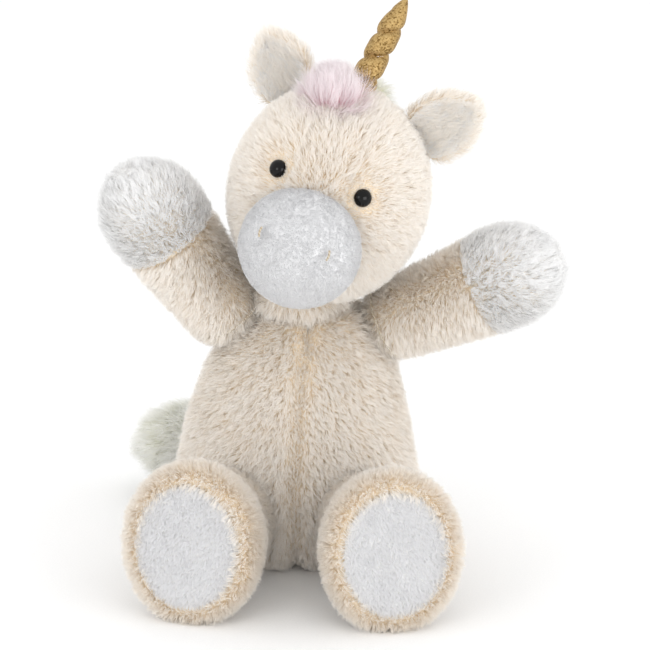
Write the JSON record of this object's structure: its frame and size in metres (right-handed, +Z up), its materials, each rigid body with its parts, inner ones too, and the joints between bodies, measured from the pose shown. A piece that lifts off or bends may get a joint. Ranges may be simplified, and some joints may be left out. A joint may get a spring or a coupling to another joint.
{
  "type": "plush unicorn",
  "caption": "Sitting plush unicorn with raised arms, velour muzzle and soles, a gold cloth horn and long-pile hooves, forelock, mane and tail.",
  "frame": {"origin": "centre of the flat seat panel's underside, on the surface the toy sits on", "axes": "+Z up, the toy faces -Y, +X is to the right of someone facing the toy"},
  "size_m": [0.2625, 0.269, 0.3346],
  "materials": {
    "cream_plush": "matte",
    "white_plush": "matte",
    "white_velour": "matte",
    "pink_pile": "matte",
    "pastel_pile": "matte",
    "gold_lame": "satin",
    "black_plastic": "gloss",
    "white_nylon": "satin",
    "beige_thread": "matte",
    "gold_thread": "satin",
    "fibre_filling": "matte",
    "pellet_bag_cloth": "matte"
  },
  "bodies": {
    "torso": {"torso_front_left_panel": "cream_plush", "torso_front_right_panel": "cream_plush", "torso_back_left_panel": "cream_plush", "torso_back_right_panel": "cream_plush", "seat_panel": "cream_plush", "pellet_bag": "pellet_bag_cloth", "torso_stuffing": "fibre_filling", "back_closing_stitch": "beige_thread"},
    "neck": {"neck_plug": "fibre_filling"},
    "neck_gather": {"neck_gathering_thread": "beige_thread"},
    "head": {"head_left_panel": "cream_plush", "head_right_panel": "cream_plush", "head_centre_gusset": "cream_plush", "head_stuffing": "fibre_filling", "muzzle_cover": "white_velour", "muzzle_stuffing": "fibre_filling", "nostril_stitch_left": "beige_thread", "nostril_stitch_right": "beige_thread", "eye_left": "black_plastic", "eye_right": "black_plastic", "eye_washer_left": "white_nylon", "eye_washer_right": "white_nylon", "forelock": "pink_pile", "mane": "pastel_pile"},
    "horn": {"horn_cover": "gold_lame", "horn_stuffing": "fibre_filling", "horn_winding_thread": "gold_thread"},
    "tail": {"tail_cover": "pastel_pile", "tail_stuffing": "fibre_filling"},
    "ear_left": {"ear_outer_left": "cream_plush", "ear_lining_left": "white_plush"},
    "shoulder_left": {"shoulder_seam_thread_left": "beige_thread"},
    "arm_left": {"arm_front_panel_left": "cream_plush", "arm_back_panel_left": "cream_plush", "hoof_cover_left": "white_plush", "arm_stuffing_left": "fibre_filling"},
    "hip_left": {"hip_seam_thread_left": "beige_thread"},
    "leg_left": {"leg_cover_left": "cream_plush", "sole_left": "white_velour", "leg_stuffing_left": "fibre_filling"},
    "ear_right": {"ear_outer_right": "cream_plush", "ear_lining_right": "white_plush"},
    "shoulder_right": {"shoulder_seam_thread_right": "beige_thread"},
    "arm_right": {"arm_front_panel_right": "cream_plush", "arm_back_panel_right": "cream_plush", "hoof_cover_right": "white_plush", "arm_stuffing_right": "fibre_filling"},
    "hip_right": {"hip_seam_thread_right": "beige_thread"},
    "leg_right": {"leg_cover_right": "cream_plush", "sole_right": "white_velour", "leg_stuffing_right": "fibre_filling"}
  },
  "joints": [
    {"name": "head_turn", "type": "hinge", "parent": "torso", "child": "neck", "pos_m": [0.003, -0.004, 0.158], "axis": [0.2924, 0, 0.9563], "range_deg": [-25, 25], "stiffness_Nm_per_rad": 1.5},
    {"name": "head_nod", "type": "hinge", "parent": "neck", "child": "neck_gather", "pos_m": [0.003, -0.004, 0.158], "axis": [0.9354, -0.2079, -0.286], "range_deg": [-8, 8], "stiffness_Nm_per_rad": 1.5},
    {"name": "head_tilt", "type": "hinge", "parent": "neck_gather", "child": "head", "pos_m": [0.003, -0.004, 0.158], "axis": [0.1988, 0.9781, -0.0608], "range_deg": [-8, 4], "stiffness_Nm_per_rad": 1.5},
    {"name": "horn_bend", "type": "hinge", "parent": "head", "child": "horn", "pos_m": [0.03641, -0.00474, 0.28006], "axis": [0.8797, -0.2055, -0.4288], "range_deg": [-10, 10], "stiffness_Nm_per_rad": 0.2},
    {"name": "ear_fold_left", "type": "hinge", "parent": "head", "child": "ear_left", "pos_m": [-0.00232, 0.00784, 0.27361], "axis": [0.8279, -0.3211, 0.4599], "range_deg": [-20, 30], "stiffness_Nm_per_rad": 0.05},
    {"name": "ear_fold_right", "type": "hinge", "parent": "head", "child": "ear_right", "pos_m": [0.06971, -0.00817, 0.25159], "axis": [0.4997, 0.026, -0.8658], "range_deg": [-20, 30], "stiffness_Nm_per_rad": 0.05},
    {"name": "arm_raise_left", "type": "hinge", "parent": "torso", "child": "shoulder_left", "pos_m": [-0.04, -0.003, 0.146], "axis": [0, 1, 0], "range_deg": [-60, 8], "stiffness_Nm_per_rad": 0.8},
    {"name": "arm_swing_left", "type": "hinge", "parent": "shoulder_left", "child": "arm_left", "pos_m": [-0.04, -0.003, 0.146], "axis": [0.8366, 0, 0.5479], "range_deg": [-10, 15], "stiffness_Nm_per_rad": 0.8},
    {"name": "arm_raise_right", "type": "hinge", "parent": "torso", "child": "shoulder_right", "pos_m": [0.054, -0.003, 0.141], "axis": [0, -1, 0], "range_deg": [-35, 6], "stiffness_Nm_per_rad": 0.8},
    {"name": "arm_swing_right", "type": "hinge", "parent": "shoulder_right", "child": "arm_right", "pos_m": [0.054, -0.003, 0.141], "axis": [0.4319, 0, -0.9019], "range_deg": [-10, 12], "stiffness_Nm_per_rad": 0.8},
    {"name": "leg_lift_left", "type": "hinge", "parent": "torso", "child": "hip_left", "pos_m": [-0.039, -0.043, 0.0358], "axis": [-0.968, 0.2508, 0], "range_deg": [0, 17], "stiffness_Nm_per_rad": 0.8},
    {"name": "leg_spread_left", "type": "hinge", "parent": "hip_left", "child": "leg_left", "pos_m": [-0.039, -0.043, 0.0358], "axis": [0, 0, -1], "range_deg": [-8, 15], "stiffness_Nm_per_rad": 0.8},
    {"name": "leg_lift_right", "type": "hinge", "parent": "torso", "child": "hip_right", "pos_m": [0.041, -0.054, 0.0358], "axis": [-0.9835, -0.1806, 0], "range_deg": [0, 26], "stiffness_Nm_per_rad": 0.8},
    {"name": "leg_spread_right", "type": "hinge", "parent": "hip_right", "child": "leg_right", "pos_m": [0.041, -0.054, 0.0358], "axis": [0, 0, 1], "range_deg": [-8, 15], "stiffness_Nm_per_rad": 0.8},
    {"name": "tail_swing", "type": "hinge", "parent": "torso", "child": "tail", "pos_m": [-0.005, 0.063, 0.04], "axis": [0, 0, 1], "range_deg": [-25, 15], "stiffness_Nm_per_rad": 0.2}
  ]
}
